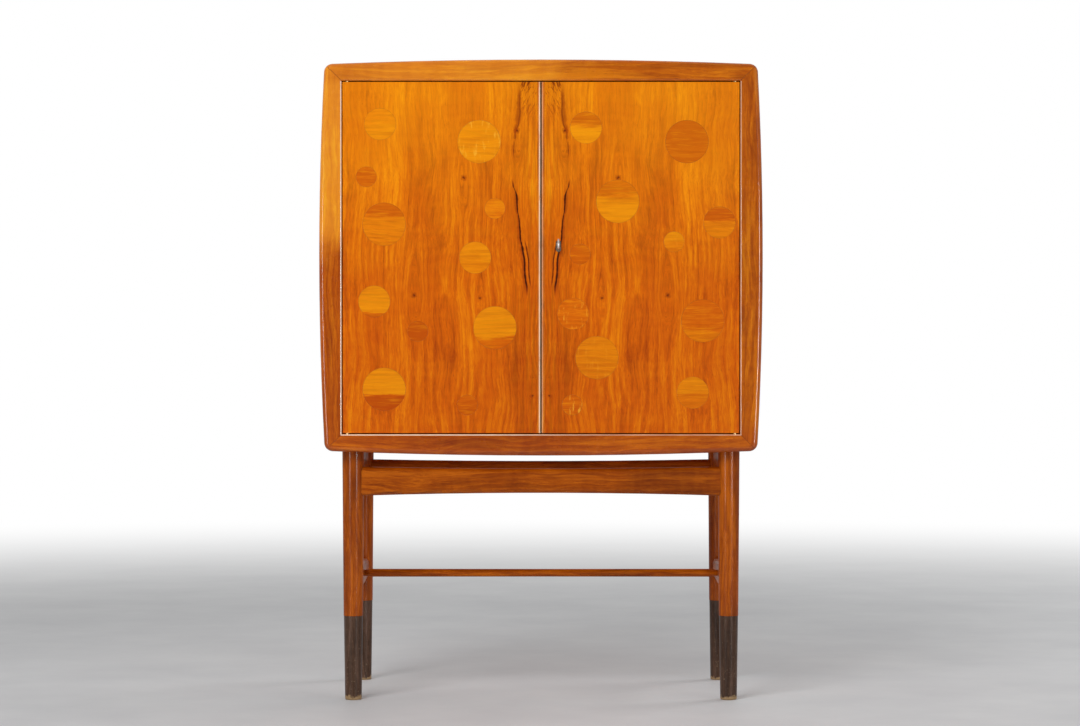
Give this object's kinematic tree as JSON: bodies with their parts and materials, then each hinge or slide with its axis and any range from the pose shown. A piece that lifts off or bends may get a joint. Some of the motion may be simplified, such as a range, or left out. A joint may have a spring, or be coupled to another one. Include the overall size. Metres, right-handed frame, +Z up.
{
  "type": "bar cabinet",
  "caption": "Bar cabinet with a crowned pillow-shaped case, inlaid inset doors, lock and key, fold-out shelf inside, on a stretcher base with dark shoes.",
  "frame": {"origin": "bottom centre of the bounding box, on the floor under the middle of the case", "axes": "+Z up, +X to the right seen from the front, +Y to the back; the doors face -Y"},
  "size_m": [0.865, 0.452, 1.2525],
  "materials": {
    "case_veneer": "satin lacquer",
    "solid_lipping": "satin lacquer",
    "door_veneer": "satin lacquer",
    "inlay_veneer": "satin lacquer",
    "leg_wood": "satin lacquer",
    "shoe_wood": "worn dark stain",
    "inner_wood": "satin lacquer",
    "brass": "aged",
    "steel": "satin",
    "felt": "felt"
  },
  "bodies": {
    "case": {"back_left_leg": "leg_wood", "back_left_shoe": "shoe_wood", "back_panel": "case_veneer", "back_panel_screws": "steel", "back_rail": "leg_wood", "back_right_leg": "leg_wood", "back_right_shoe": "shoe_wood", "bottom_board": "case_veneer", "bottom_lipping": "solid_lipping", "case_hinge_leaves": "brass", "case_hinge_screws": "brass", "case_screws": "steel", "door_bumpers": "felt", "front_left_leg": "leg_wood", "front_left_shoe": "shoe_wood", "front_rail": "leg_wood", "front_right_leg": "leg_wood", "front_right_shoe": "shoe_wood", "left_lipping": "solid_lipping", "left_lower_shelf": "inner_wood", "left_side": "case_veneer", "left_side_rail": "leg_wood", "left_stretcher": "leg_wood", "left_upper_shelf": "inner_wood", "long_stretcher": "leg_wood", "partition": "inner_wood", "right_lipping": "solid_lipping", "right_lower_shelf": "inner_wood", "right_side": "case_veneer", "right_side_rail": "leg_wood", "right_stretcher": "leg_wood", "right_upper_shelf": "inner_wood", "shelf_pins": "brass", "shoe_dowels": "leg_wood", "top_board": "case_veneer", "top_lipping": "solid_lipping"},
    "left_door": {"left_door_panel": "door_veneer", "left_door_edging": "solid_lipping", "left_door_inlays": "inlay_veneer", "left_door_hinge_leaves": "brass", "left_door_hinge_screws": "brass", "keeper_plate": "steel", "slide_bolt_guide": "brass"},
    "slide_bolt": {"slide_bolt": "brass"},
    "right_door": {"right_door_panel": "door_veneer", "right_door_edging": "solid_lipping", "right_door_inlays": "inlay_veneer", "right_door_hinge_leaves": "brass", "right_door_hinge_screws": "brass", "lock_case": "steel", "escutcheon": "steel", "shelf_left_cheek": "inner_wood", "shelf_right_cheek": "inner_wood", "shelf_stop_rail": "inner_wood", "shelf_pivot_pins": "brass", "shelf_rest_pads": "felt"},
    "key": {"key": "steel"},
    "lock_bolt": {"lock_bolt": "steel"},
    "fold_shelf": {"fold_shelf": "inner_wood", "fold_shelf_lipping": "inner_wood"}
  },
  "joints": [
    {"name": "left_door_hinge", "type": "hinge", "parent": "case", "child": "left_door", "pos_m": [-0.378, -0.195, 0.8665], "axis": [0, 0, -1], "range_deg": [0, 110]},
    {"name": "right_door_hinge", "type": "hinge", "parent": "case", "child": "right_door", "pos_m": [0.378, -0.195, 0.8665], "axis": [0, 0, 1], "range_deg": [0, 110]},
    {"name": "key_turn", "type": "hinge", "parent": "right_door", "child": "key", "pos_m": [0.034, -0.2, 0.8925], "axis": [0, 1, 0], "range_deg": [0, 90]},
    {"name": "lock_bolt_slide", "type": "slide", "parent": "right_door", "child": "lock_bolt", "axis": [-1, 0, 0], "range_m": [0, 0.008]},
    {"name": "slide_bolt_slide", "type": "slide", "parent": "left_door", "child": "slide_bolt", "axis": [0, 0, -1], "range_m": [0, 0.01]},
    {"name": "fold_shelf_hinge", "type": "hinge", "parent": "right_door", "child": "fold_shelf", "pos_m": [0.194, -0.15, 0.8345], "axis": [-1, 0, 0], "range_deg": [0, 94]}
  ],
  "couplings": [
    {"joint": "lock_bolt_slide", "follows": "key_turn", "m_per_rad": 0.005092}
  ]
}
